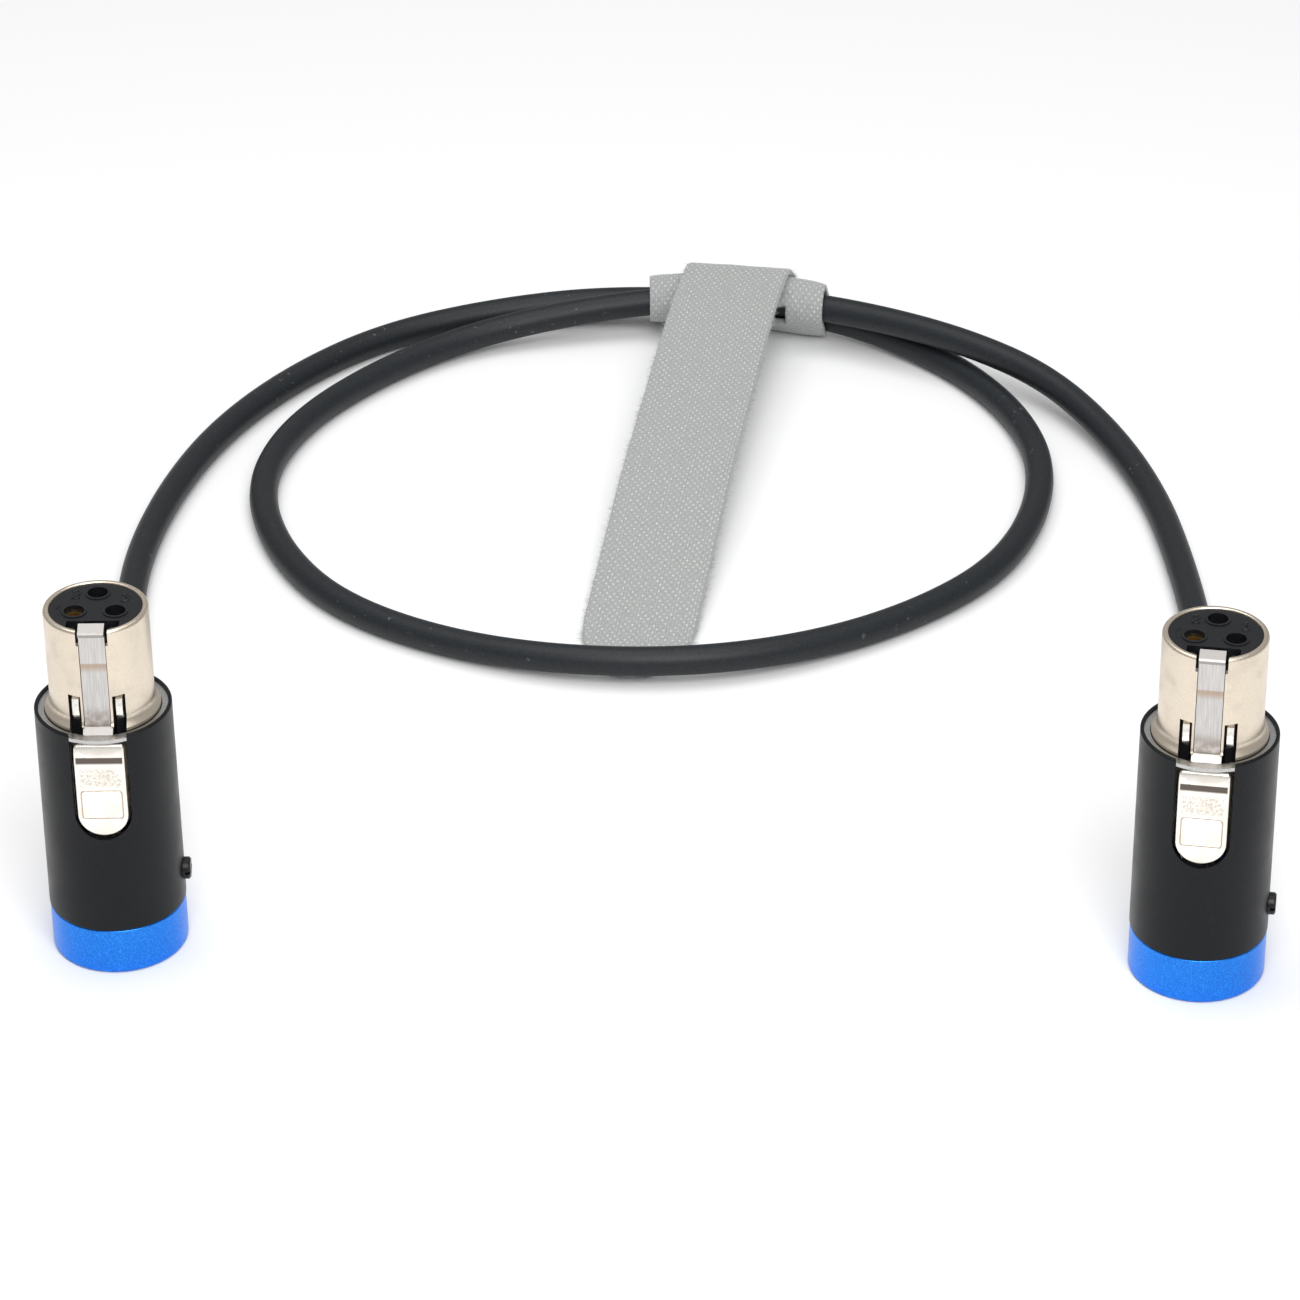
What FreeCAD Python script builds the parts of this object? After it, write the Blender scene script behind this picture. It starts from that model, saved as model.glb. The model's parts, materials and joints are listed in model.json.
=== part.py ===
import FreeCAD, Part
import math
import os

# Short microphone cable with a low-profile female XLR connector on each end, laid in one loose loop
# that a hook-and-loop tie holds where its two ends cross.  Millimetres, +Z up.  Both connectors stand
# on z = 0 with their latches towards -Y and their cable exits towards +Y, and the box of the two
# connectors is centred on the origin.  A connector is drawn about its own axis and then moved; the
# right one is also turned a little about that axis.

Vector = FreeCAD.Vector
Z_AXIS = Vector(0, 0, 1)

# ---- where the connectors stand ------------------------------------------------------------------
SPREAD = 167.7            # between the two connector axes, along X
STAGGER = 10.9            # the right connector stands this much nearer the front
RIGHT_TURN = -10.0        # degrees; the right connector is turned this much about its own axis
SCREW_PROUD = 1.0         # clamp screw beyond the barrel, on the +X side
GROMMET_PROUD = 2.0       # cable grommet beyond the barrel, on the +Y side

# ---- outer shells --------------------------------------------------------------------------------
CAP_R = 10.55
CAP_H = 7.8
CAP_FLOOR = 1.8
CAP_EDGE = 0.5            # rounding of the cap's foot
SHELL_GAP = 0.1           # shadow line between the cap and the barrel
BARREL_LOW_R = 10.65
BARREL_TOP_R = 10.5
BARREL_TOP = 43.1
BARREL_BORE = 8.6         # below the step, where the clamp screw and the grommet need a thick wall
BARREL_MOUTH = 9.95       # above the step
BARREL_STEP = 17.0
SPIGOT_R = 9.6            # male thread of the barrel, drawn at its pitch radius
SPIGOT_Z = 2.4
THREAD_GAP = 0.04
RIM_EDGE = 0.25           # rounding of the other rims
SLOT_W = 8.8              # U-shaped button slot in the front of the barrel
SLOT_LOW = 24.8

# ---- nose, sleeve and insert ---------------------------------------------------------------------
NOSE_R = 8.0              # 16 mm, the size that a male shell takes
NOSE_BORE = 7.05
NOSE_TOP = 60.2
NOSE_LOW = 26.7
NOSE_EDGE = 0.5           # rounding of the nose's outer rim
NOTCH_LOW = 57.8          # the channel is wider from here up, beside the latch's hook
SKIRT_R = 8.6
FLANGE_R = 8.9
FLANGE_LOW = 42.9
FLANGE_TOP = 43.6
FLANGE_EDGE = 0.3
FLARE_R = 1.6             # hollow curve between the flange and the nose
FLARE_W = 0.6             # and how far it reaches out from the nose
CHANNEL_W = 4.1           # slot for the latch tongue, up the front of the nose
SKIRT_CHANNEL_W = 5.0     # and below the flange, where the tongue is wider
NOTCH_W = 4.8
WINDOW_IN = 2.4           # the two small windows beside the tongue, from and to this |x|
WINDOW_OUT = 4.3
WINDOW_LOW = 40.1
WINDOW_TOP = 48.8
SLEEVE_R = 9.9
SLEEVE_BORE = 9.45
SLEEVE_LOW = 17.05
SLEEVE_TOP = 42.7
SLEEVE_LIP_BORE = 9.0     # the pale ring inside the barrel's mouth
SLEEVE_LIP_T = 0.8
SLEEVE_WINDOW_LOW = 23.7
SLEEVE_WINDOW_GAP = 0.4   # beside the button
LEDGE_T = 0.6             # the sleeve's rim where it steps out into the barrel's slot
LEDGE_R = 10.45
LUG_GAP = 0.3             # between the tongue and each of the two lugs that hold its pin
LUG_IN_Y = -6.6
LUG_HALF_H = 1.6
INSERT_R = 7.0
INSERT_LOW = 29.2
INSERT_TOP = 60.0
CHANNEL_Y = -5.3          # floor of the tongue's groove in the insert
CHANNEL_HALF_W = 2.7
STOP_SLOT_W = 8.0         # cross slot in the insert's face, behind the hook
STOP_SLOT_Y = (-5.9, -4.0)
STOP_SLOT_LOW = 57.2
GROUND_BAND_R = 6.6
GROUND_BAND_Z = (33.2, 36.2)
GROUND_GAP_HALF_W = 2.8   # the band's gap, which is also each leg's inner side
GROUND_LEG_W = 1.0
GROUND_LEG_Y = (-5.75, -5.45)
GROUND_LEG_TOP = 46.2
GROUND_SEAT_GAP = 0.05    # round the band and its legs in the insert
GROUND_SEAT_TOP = 48.7
# (y, z) outline of the tab that shows in each window
GROUND_TAB = [(-5.75, 44.4), (-6.7, 45.0), (-6.85, 46.6), (-6.6, 47.8), (-6.0, 48.2), (-5.45, 48.2),
              (-5.45, 44.4)]
GROUND_POCKET_LOW = 44.0  # below this only a narrow groove for each leg
RING_LOW = 26.8
RING_BORE = 5.6

# ---- latch ---------------------------------------------------------------------------------------
PIVOT_Y = -8.0
PIVOT_Z = 21.2
PIN_R = 0.6
PIN_LEN = 7.2
PIN_GAP = 0.04
EYE_R = 1.0
TONGUE_W = 3.9
TONGUE_LOW_W = 4.5        # below the nose's flange
TONGUE_STEP_Z = 43.6
BUTTON_W = 7.7
BUTTON_LOW = 25.2
BUTTON_TOP = 41.4
BUTTON_FACE = -10.05
BUTTON_BACK = -9.3
BUTTON_LEAN = [(39.8, -10.05), (40.6, -9.9), (41.4, -9.65)]    # (z, y) of its face near the top
WEB_HALF_W = 1.8          # the button's foot on the tongue
WEB_Z = (28.2, 38.2)
TONGUE_FACE = -8.7        # the tongue's outer side under the button
# (y, z) outline of the tongue above its pivot: outer side up to the hook, then the inner side down
TONGUE_LINE = [(-8.7, 42.6), (-7.62, 43.5), (-7.62, 59.5), (-8.45, 59.7), (-8.5, 60.2), (-8.2, 60.45),
               (-6.4, 61.0), (-6.4, 60.6), (-6.92, 60.2), (-6.92, 43.2), (-8.0, 42.3)]
# (y, z) outline of the leaf spring, whose foot stands on the floor of the insert's groove
SPRING_LINE = [(-5.3, 29.7), (-5.3, 33.2), (-7.0, 38.2), (-6.8, 39.7), (-7.1, 39.8), (-7.3, 38.2),
               (-5.65, 33.2), (-5.65, 29.7)]
SPRING_HALF_W = 1.6

# ---- contacts: 1 on the left, 2 on the right, 3 at the back, seen from the front -----------------
CONTACTS = {"contact_1": (-3.1, -1.2), "contact_2": (3.1, -1.2), "contact_3": (0.0, 4.1)}
CONTACT_R = 1.9
CONTACT_LOW = 31.25
CONTACT_TOP = 57.1
CONTACT_1_TOP = 59.1      # contact 1 stands higher, so that it meets its pin first
PIN_BORE_R = 1.21         # takes a 2.4 mm pin
PIN_BORE_DEPTH = 14.0
SLIT_W = 0.34             # cross slit that lets the contact grip the pin
SLIT_LOW = 49.2
CUP_R = 1.3
CUP_BORE = 0.85
CUP_LOW = 23.7
CUP_DEPTH = 4.0
CONTACT_GAP = 0.05
FACE_HOLE_R = 1.55
FACE_HOLE_GAP = 0.1       # from a contact's top to the narrower hole in the insert's face
FACE_RING_R = 1.95
FACE_RING_H = 0.15

# ---- cable, clamp and wiring ---------------------------------------------------------------------
CABLE_R = 2.55
EXIT_Z = 12.5
GROMMET_R = 3.45
GROMMET_FLANGE_R = 4.2
GROMMET_FLANGE_Y = (6.2, 7.4)
GROMMET_EDGE = 0.6
GROMMET_BORE = 2.58
JACKET_END_Y = -4.0
SCREW_R = 1.75
SCREW_GAP = 0.03
SCREW_SLOT_W = 0.5
SCREW_SLOT_D = 0.8
SCREW_EDGE = 0.25
PAD_IN = 2.62             # from the cable's axis to the pad's hollow face
PAD_OUT = 4.2
PAD_GAP = 0.02            # between the pad and the screw's tip
PAD_WRAP = 0.9            # how far the pad's lips reach round the cable
PAD_HALF_W = 2.2
PAD_HALF_H = 2.1
SHRINK_T = 0.35
SHRINK_GAP = 0.02
SHRINK_Y = (-4.6, -2.4)
CORE_R = 0.65
CORE_BEND_Y = -6.0        # where the cores turn up out of the jacket
CORE_SIDE = 1.2           # the two outer cores leave the jacket this far to each side
CORE_DROP = 0.6           # and this much below the cable's axis
CORE_LIFT = 1.3           # the middle one this much above it
CORE_LEAN = (0.4, 0.35)   # first bend of a core: this far back, and this share of its way sideways
CORE_RISE = (0.3, 0.55, 0.8)     # heights of its three bends, as shares of its rise
SOLDER_H = 2.4

# ---- the tie -------------------------------------------------------------------------------------
STRAP_T = 1.2
STRAP_W = 19.8
HEAD_T = 1.25
HEAD_HALF = (7.05, 4.6)          # half length and half thickness of its section, outside
HEAD_CORNER = 4.1
# its section at three places from left to right: middle, heading, and rise of the section's long side
# towards the front, in degrees; the strands cross inside it, so it twists with them
HEAD_STATIONS = [((-0.2, 207.1, 6.0), 0.0, 24.0), ((16.5, 205.4, 6.4), -6.0, 37.0),
                 ((33.3, 200.3, 6.65), -10.0, 44.0)]
HEAD_SLOT = (7.0, 26.0)          # X span of the slot in its front that the strap threads through
HEAD_SLOT_Z = (5.4, 8.0)
TAIL_TOP = (16.2, 205.5)         # the tail's middle where it comes over the head
TAIL_TURN = 9.5                  # degrees from -Y towards -X
# middle of the strap's thickness: distance forward of TAIL_TOP, and height
TAIL_LINE = [(-7.7, 3.2), (-7.7, 7.2), (1.35, 14.1), (72.0, 8.8), (118.5, 0.65), (128.5, 0.65)]
TAIL_BENDS = [5.0, 4.8, 150.0, 40.0]     # radii at its inner points
TAIL_TIP = 16.5                  # length of the tail's rounded tip

# ---- the cable's route, from the left grommet to the right one -----------------------------------
# The two strands lie on the table but for the drop from each exit, the crossing at and beside the
# tie, and the rise over the end of the strap.
ROUTE = [
    (-84.35, 17.1, 12.5), (-84.35, 28.4, 12.5), (-85.5, 44.5, 9), (-88, 65, 2.55), (-90.5, 89, 2.55),
    (-91.5, 114, 2.55), (-87.5, 139.5, 2.55), (-79.5, 163.5, 2.55), (-67, 183.5, 2.55),
    (-51.5, 199, 2.55), (-32, 207, 3.3), (-10, 210, 4.5), (13.5, 208.5, 4.4), (36, 202, 4.2),
    (54.5, 188.5, 2.55), (66, 170, 2.55), (71, 149, 2.55), (68, 126.5, 2.55), (58, 106, 2.55),
    (37.5, 89, 2.55), (13.5, 78, 4.1), (-12, 77.5, 4.1), (-36, 86.5, 2.55), (-56, 100.5, 2.55),
    (-67.5, 121, 2.55), (-71.5, 143.5, 2.55), (-66, 164.5, 2.55), (-53, 183, 2.55), (-36, 197, 3.2),
    (-15.5, 202.5, 5.6), (6, 205, 7.2), (25.5, 201, 8.2), (43, 193.5, 8.5), (59.5, 183.5, 8.3),
    (73.5, 173, 6.4), (83.5, 156.5, 4.1), (90, 136, 2.55), (92.5, 111.5, 2.55), (93.5, 85.5, 2.55),
    (92.5, 59, 2.55), (90, 35.5, 8.5), (87.53, 17.23, 12.5), (85.547, 6.008, 12.5)]
ARC_SHARE = 0.45          # of the shorter run, used up by the arc at a route point


# ---- small shape helpers -------------------------------------------------------------------------
def block(x, y, z):
    """Box from three (low, high) pairs."""
    return Part.makeBox(x[1] - x[0], y[1] - y[0], z[1] - z[0], Vector(x[0], y[0], z[0]))


def mirrored(span, side):
    """(low, high) of a span of |x| on one side, -1 or 1."""
    return sorted((side * span[0], side * span[1]))


def rod(radius, start, end):
    """Cylinder between two points."""
    axis = Vector(*end) - Vector(*start)
    return Part.makeCylinder(radius, axis.Length, Vector(*start), axis)


def outline(points, place):
    """Closed wire.  An entry that holds two points is an arc through the first to the second, and an
    arc at the very end is the one that closes it."""
    edges = []
    at = place(*points[0])
    closing = [] if isinstance(points[-1][0], tuple) else [points[0]]
    for entry in points[1:] + closing:
        if isinstance(entry[0], tuple):
            middle, end = place(*entry[0]), place(*entry[1])
            edges.append(Part.Arc(at, middle, end).toShape())
        else:
            end = place(*entry)
            edges.append(Part.LineSegment(at, end).toShape())
        at = end
    return Part.Wire(edges)


def rounded(r, z, enter, leave):
    """Two outline entries that round the corner at (r, z), given the steps from it to the arc's ends."""
    share = 1 - math.sqrt(0.5)
    middle = (r + share * (enter[0] + leave[0]), z + share * (enter[1] + leave[1]))
    return [(r + enter[0], z + enter[1]), (middle, (r + leave[0], z + leave[1]))]


def turned(points, x=0.0, y=0.0):
    """Solid of revolution of an (r, z) outline about a vertical axis."""
    wire = outline(points, lambda r, z: Vector(x + r, y, z))
    return Part.Face(wire).revolve(Vector(x, y, 0), Z_AXIS, 360)


def pressed(points, half_width):
    """(y, z) outline extruded both ways along X."""
    wire = outline(points, lambda y, z: Vector(-half_width, y, z))
    return Part.Face(wire).extrude(Vector(2 * half_width, 0, 0))


def rounded_slot(half_width, y, z_low, z_high):
    """Block with a half-round lower end, for the button and for the slot that it sits in."""
    z_mid = z_low + half_width
    body = block((-half_width, half_width), y, (z_mid, z_high))
    return body.fuse(rod(half_width, (0, y[0], z_mid), (0, y[1], z_mid))).removeSplitter()


def arc_path(points, radii):
    """Wire of straight runs joined by tangent arcs of the given radii."""
    points = [Vector(*p) for p in points]
    edges = []
    at = points[0]
    for before, corner, after, radius in zip(points, points[1:], points[2:], radii):
        back = (before - corner).normalize()
        ahead = (after - corner).normalize()
        half_turn = (math.pi - back.getAngle(ahead)) / 2
        reach = radius * math.tan(half_turn)
        start, end = corner + back * reach, corner + ahead * reach
        inward = (back + ahead).normalize()
        middle = corner + inward * (radius / math.cos(half_turn) - radius)
        edges += [Part.LineSegment(at, start).toShape(), Part.Arc(start, middle, end).toShape()]
        at = end
    edges.append(Part.LineSegment(at, points[-1]).toShape())
    return Part.Wire(edges)


def fair_radii(points):
    """The largest arc that the two runs beside each inner point leave room for."""
    points = [Vector(*p) for p in points]
    radii = []
    for before, corner, after in zip(points, points[1:], points[2:]):
        turn = math.pi - (before - corner).getAngle(after - corner)
        run = min((before - corner).Length, (after - corner).Length)
        radii.append(ARC_SHARE * run / math.tan(turn / 2))
    return radii


def tube_along(path, radius):
    """Round solid swept along a wire of lines and arcs."""
    start = path.Edges[0]
    heading = start.tangentAt(start.FirstParameter)
    ring = Part.Wire(Part.makeCircle(radius, start.valueAt(start.FirstParameter), heading))
    return path.makePipeShell([ring], True, False)


def wire_tube(points, radius):
    return tube_along(arc_path(points, fair_radii(points)), radius)


# ---- one connector, about its own axis -----------------------------------------------------------
def base_cap():
    cup_r = SPIGOT_R + THREAD_GAP
    return turned([(0, 0)] + rounded(CAP_R, 0, (-CAP_EDGE, 0), (0, CAP_EDGE))
                  + rounded(CAP_R, CAP_H, (0, -RIM_EDGE), (-RIM_EDGE, 0))
                  + [(cup_r, CAP_H), (cup_r, CAP_FLOOR), (0, CAP_FLOOR)])


def barrel():
    foot = CAP_H + SHELL_GAP
    body = turned([(BARREL_BORE, SPIGOT_Z), (SPIGOT_R, SPIGOT_Z), (SPIGOT_R, foot)]
                  + rounded(BARREL_LOW_R, foot, (-RIM_EDGE, 0), (0, RIM_EDGE))
                  + rounded(BARREL_TOP_R, BARREL_TOP, (0, -RIM_EDGE), (-RIM_EDGE, 0))
                  + [(BARREL_MOUTH, BARREL_TOP), (BARREL_MOUTH, BARREL_STEP), (BARREL_BORE, BARREL_STEP)])
    button_slot = rounded_slot(SLOT_W / 2, (-BARREL_LOW_R - 1, -BARREL_BORE), SLOT_LOW, BARREL_TOP + 1)
    exit_hole = rod(GROMMET_R + SCREW_GAP, (0, 0, EXIT_Z), (0, BARREL_LOW_R + 1, EXIT_Z))
    screw_hole = rod(SCREW_R + SCREW_GAP, (0, 0, EXIT_Z), (BARREL_LOW_R + 1, 0, EXIT_Z))
    return body.cut([button_slot, exit_hole, screw_hole])


def inner_sleeve():
    lip_low = SLEEVE_TOP - SLEEVE_LIP_T
    body = turned([(SLEEVE_BORE, SLEEVE_LOW), (SLEEVE_R, SLEEVE_LOW), (SLEEVE_R, SLEEVE_TOP),
                   (SLEEVE_LIP_BORE, SLEEVE_TOP), (SLEEVE_LIP_BORE, lip_low), (SLEEVE_BORE, lip_low)])
    ledge_low = SLEEVE_TOP - LEDGE_T
    ledge = turned([(SLEEVE_BORE, ledge_low), (LEDGE_R, ledge_low), (LEDGE_R, SLEEVE_TOP),
                    (SLEEVE_BORE, SLEEVE_TOP)])
    half = SLOT_W / 2 - THREAD_GAP
    ledge = ledge.common(block((-half, half), (-LEDGE_R - 1, 0), (ledge_low, SLEEVE_TOP)))
    window_half = BUTTON_W / 2 + SLEEVE_WINDOW_GAP
    window = block((-window_half, window_half), (-LEDGE_R, -BARREL_BORE + 1),
                   (SLEEVE_WINDOW_LOW, ledge_low))
    lug_x = (TONGUE_LOW_W / 2 + LUG_GAP, PIN_LEN / 2 + LUG_GAP)
    lug_z = (PIVOT_Z - LUG_HALF_H, PIVOT_Z + LUG_HALF_H)
    lugs = [block(mirrored(lug_x, side), (-SLEEVE_BORE, LUG_IN_Y), lug_z) for side in (-1, 1)]
    wall_limit = rod((SLEEVE_BORE + SLEEVE_R) / 2, (0, 0, SLEEVE_LOW), (0, 0, SLEEVE_TOP))
    lugs = [lug.common(wall_limit) for lug in lugs]
    return body.cut(window).fuse([ledge] + lugs).cut(latch_pin()).removeSplitter()


def nose_shell():
    sweep = math.acos(1 - FLARE_W / FLARE_R)
    flare_top = FLANGE_TOP + FLARE_R * math.sin(sweep)
    flare_mid = (NOSE_R + FLARE_R * (1 - math.cos(sweep / 2)), flare_top - FLARE_R * math.sin(sweep / 2))
    body = turned([(SKIRT_R, NOSE_LOW), (SKIRT_R, FLANGE_LOW), (FLANGE_R, FLANGE_LOW),
                   (FLANGE_R, FLANGE_TOP - FLANGE_EDGE), (NOSE_R + FLARE_W, FLANGE_TOP),
                   (flare_mid, (NOSE_R, flare_top))]
                  + rounded(NOSE_R, NOSE_TOP, (0, -NOSE_EDGE), (-NOSE_EDGE, 0))
                  + rounded(NOSE_BORE, NOSE_TOP, (RIM_EDGE, 0), (0, -RIM_EDGE)) + [(NOSE_BORE, NOSE_LOW)])
    front = (-FLANGE_R - 1, -NOSE_BORE / 2)
    cuts = [block((-width / 2, width / 2), front, z) for width, z in
            ((CHANNEL_W, (NOSE_LOW - 1, NOSE_TOP + 1)), (NOTCH_W, (NOTCH_LOW, NOSE_TOP + 1)),
             (SKIRT_CHANNEL_W, (NOSE_LOW - 1, FLANGE_TOP)))]
    cuts += [block(mirrored((WINDOW_IN, WINDOW_OUT), side), front, (WINDOW_LOW, WINDOW_TOP))
             for side in (-1, 1)]
    cuts.append(block((-WINDOW_OUT, WINDOW_OUT), (-FLANGE_R - 1, -NOSE_R), (FLANGE_LOW, flare_top)))
    return body.cut(cuts)


def contact_top(name):
    return CONTACT_1_TOP if name == "contact_1" else CONTACT_TOP


def insert():
    body = turned([(0, INSERT_LOW), (INSERT_R, INSERT_LOW), (INSERT_R, INSERT_TOP), (0, INSERT_TOP)])
    cuts = [block((-CHANNEL_HALF_W, CHANNEL_HALF_W), (-INSERT_R - 1, CHANNEL_Y),
                  (INSERT_LOW - 1, INSERT_TOP + 1)),
            block((-STOP_SLOT_W / 2, STOP_SLOT_W / 2), STOP_SLOT_Y, (STOP_SLOT_LOW, INSERT_TOP + 1))]
    gap = GROUND_SEAT_GAP
    leg_x = (GROUND_GAP_HALF_W - gap, GROUND_GAP_HALF_W + GROUND_LEG_W + 2 * gap)
    groove = ((GROUND_LEG_Y[0] - gap, GROUND_LEG_Y[1] + gap), (GROUND_BAND_Z[0], GROUND_SEAT_TOP))
    pocket = ((-INSERT_R, GROUND_LEG_Y[1] + gap), (GROUND_POCKET_LOW, GROUND_SEAT_TOP))
    cuts += [block(mirrored(leg_x, side), *seat) for side in (-1, 1) for seat in (groove, pocket)]
    seat_r, seat_low, seat_top = GROUND_BAND_R - gap, GROUND_BAND_Z[0] - gap, GROUND_BAND_Z[1] + gap
    cuts.append(turned([(seat_r, seat_low), (INSERT_R + 1, seat_low), (INSERT_R + 1, seat_top),
                        (seat_r, seat_top)]))
    rings = []
    for name, (x, y) in CONTACTS.items():
        hole_low = contact_top(name) + FACE_HOLE_GAP
        rings.append(rod(FACE_RING_R, (x, y, INSERT_TOP), (x, y, INSERT_TOP + FACE_RING_H)))
        cuts.append(rod(FACE_HOLE_R, (x, y, hole_low), (x, y, INSERT_TOP + 1)))
        cuts.append(rod(CONTACT_R + CONTACT_GAP, (x, y, CONTACT_LOW - CONTACT_GAP), (x, y, hole_low)))
        cuts.append(rod(CUP_R + CONTACT_GAP, (x, y, INSERT_LOW - 1), (x, y, CONTACT_LOW)))
    return body.fuse(rings).cut(cuts)


def contact(x, y, top):
    cup_end = CUP_LOW + CUP_DEPTH
    bore_end = top - PIN_BORE_DEPTH
    body = turned([(0, cup_end), (CUP_BORE, cup_end), (CUP_BORE, CUP_LOW), (CUP_R, CUP_LOW),
                   (CUP_R, CONTACT_LOW), (CONTACT_R, CONTACT_LOW), (CONTACT_R, top),
                   (PIN_BORE_R, top), (PIN_BORE_R, bore_end), (0, bore_end)], x, y)
    slit = block((x - CONTACT_R - 1, x + CONTACT_R + 1), (y - SLIT_W / 2, y + SLIT_W / 2),
                 (SLIT_LOW, top + 1))
    return body.cut(slit)


def ground_spring():
    """C-shaped band round the insert, with a leg that shows in each window of the nose."""
    low, top = GROUND_BAND_Z
    band = turned([(GROUND_BAND_R, low), (INSERT_R, low), (INSERT_R, top), (GROUND_BAND_R, top)])
    band = band.cut(block((-GROUND_GAP_HALF_W, GROUND_GAP_HALF_W), (-NOSE_R, 0), (low - 1, top + 1)))
    leg_x = (GROUND_GAP_HALF_W, GROUND_GAP_HALF_W + GROUND_LEG_W)
    tab_x = sum(leg_x) / 2
    legs = []
    for side in (-1, 1):
        tab = pressed(GROUND_TAB, GROUND_LEG_W / 2)
        legs += [block(mirrored(leg_x, side), GROUND_LEG_Y, (low, GROUND_LEG_TOP)),
                 tab.translated(Vector(side * tab_x, 0, 0))]
    return band.fuse(legs).removeSplitter()


def retaining_ring():
    return turned([(RING_BORE, RING_LOW), (INSERT_R, RING_LOW), (INSERT_R, INSERT_LOW - CONTACT_GAP),
                   (RING_BORE, INSERT_LOW - CONTACT_GAP)])


def latch_tongue():
    """Steel strip that hinges at its foot and ends in the hook that holds the mating shell."""
    half = TONGUE_LOW_W / 2
    strip = pressed([(TONGUE_FACE, PIVOT_Z)] + TONGUE_LINE + [(PIVOT_Y, PIVOT_Z)], half)
    sides = [block(mirrored((TONGUE_W / 2, half + 1), side), (-FLANGE_R, 0), (TONGUE_STEP_Z, NOSE_TOP + 1))
             for side in (-1, 1)]
    strip = strip.cut(sides)
    eye = rod(EYE_R, (-half, PIVOT_Y, PIVOT_Z), (half, PIVOT_Y, PIVOT_Z))
    hole = rod(PIN_R + PIN_GAP, (-half, PIVOT_Y, PIVOT_Z), (half, PIVOT_Y, PIVOT_Z))
    return strip.fuse(eye).cut(hole).removeSplitter()


def latch_button():
    face = rounded_slot(BUTTON_W / 2, (BUTTON_FACE, BUTTON_BACK), BUTTON_LOW, BUTTON_TOP)
    lean = [(y, z) for z, y in BUTTON_LEAN]
    side = pressed([(BUTTON_FACE, BUTTON_LOW - 1)] + lean
                   + [(BUTTON_BACK, BUTTON_TOP), (BUTTON_BACK, BUTTON_LOW - 1)], BUTTON_W / 2)
    web = block((-WEB_HALF_W, WEB_HALF_W), (BUTTON_BACK, TONGUE_FACE), WEB_Z)
    return face.common(side).fuse(web).removeSplitter()


def latch_pin():
    return rod(PIN_R, (-PIN_LEN / 2, PIVOT_Y, PIVOT_Z), (PIN_LEN / 2, PIVOT_Y, PIVOT_Z))


def latch_spring():
    return pressed(SPRING_LINE, SPRING_HALF_W)


def exit_grommet():
    outer_y = BARREL_LOW_R + GROMMET_PROUD
    inner_y, flange_y = GROMMET_FLANGE_Y
    body = rod(GROMMET_R, (0, inner_y, EXIT_Z), (0, outer_y, EXIT_Z))
    body = body.makeChamfer(GROMMET_EDGE, [e for e in body.Edges if e.BoundBox.YMin > flange_y])
    flange = rod(GROMMET_FLANGE_R, (0, inner_y, EXIT_Z), (0, flange_y, EXIT_Z))
    bore = rod(GROMMET_BORE, (0, 0, EXIT_Z), (0, outer_y + 1, EXIT_Z))
    return body.fuse(flange).cut(bore)


def clamp_screw():
    tip, head = PAD_OUT, BARREL_LOW_R + SCREW_PROUD
    body = rod(SCREW_R, (tip, 0, EXIT_Z), (head, 0, EXIT_Z))
    body = body.makeChamfer(SCREW_EDGE, [e for e in body.Edges if e.BoundBox.XMin > tip])
    slot = block((head - SCREW_SLOT_D, head + 1), (-SCREW_R - 1, SCREW_R + 1),
                 (EXIT_Z - SCREW_SLOT_W / 2, EXIT_Z + SCREW_SLOT_W / 2))
    return body.cut(slot)


def clamp_pad():
    """Saddle between the screw's tip and the cable's jacket."""
    body = block((PAD_IN - PAD_WRAP, PAD_OUT - PAD_GAP), (-PAD_HALF_W, PAD_HALF_W),
                 (EXIT_Z - PAD_HALF_H, EXIT_Z + PAD_HALF_H))
    return body.cut(rod(PAD_IN, (0, -PAD_HALF_W - 1, EXIT_Z), (0, PAD_HALF_W + 1, EXIT_Z)))


def cable_end():
    """The jacket inside the connector, from the grommet's face to where it is stripped."""
    return rod(CABLE_R, (0, JACKET_END_Y, EXIT_Z), (0, BARREL_LOW_R + GROMMET_PROUD, EXIT_Z))


def shrink_sleeve():
    inner, outer = SHRINK_Y
    sleeve = rod(CABLE_R + SHRINK_T, (0, inner, EXIT_Z), (0, outer, EXIT_Z))
    return sleeve.cut(rod(CABLE_R + SHRINK_GAP, (0, inner - 1, EXIT_Z), (0, outer + 1, EXIT_Z)))


def core(contact_name, start_x, start_z):
    """One wire from the stripped jacket up to its solder cup."""
    x, y = CONTACTS[contact_name]
    heights = [start_z + share * (CUP_LOW - start_z) for share in CORE_RISE]
    back, sideways = CORE_LEAN
    points = [(start_x, JACKET_END_Y, start_z), (start_x, CORE_BEND_Y, start_z),
              (start_x + sideways * (x - start_x), CORE_BEND_Y + back, heights[0]),
              (x, (y + CORE_BEND_Y) / 2, heights[1]), (x, y, heights[2]), (x, y, CUP_LOW)]
    return wire_tube(points, CORE_R)


def solder_joints():
    return Part.makeCompound([rod(CUP_BORE, (x, y, CUP_LOW), (x, y, CUP_LOW + SOLDER_H))
                              for x, y in CONTACTS.values()])


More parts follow.
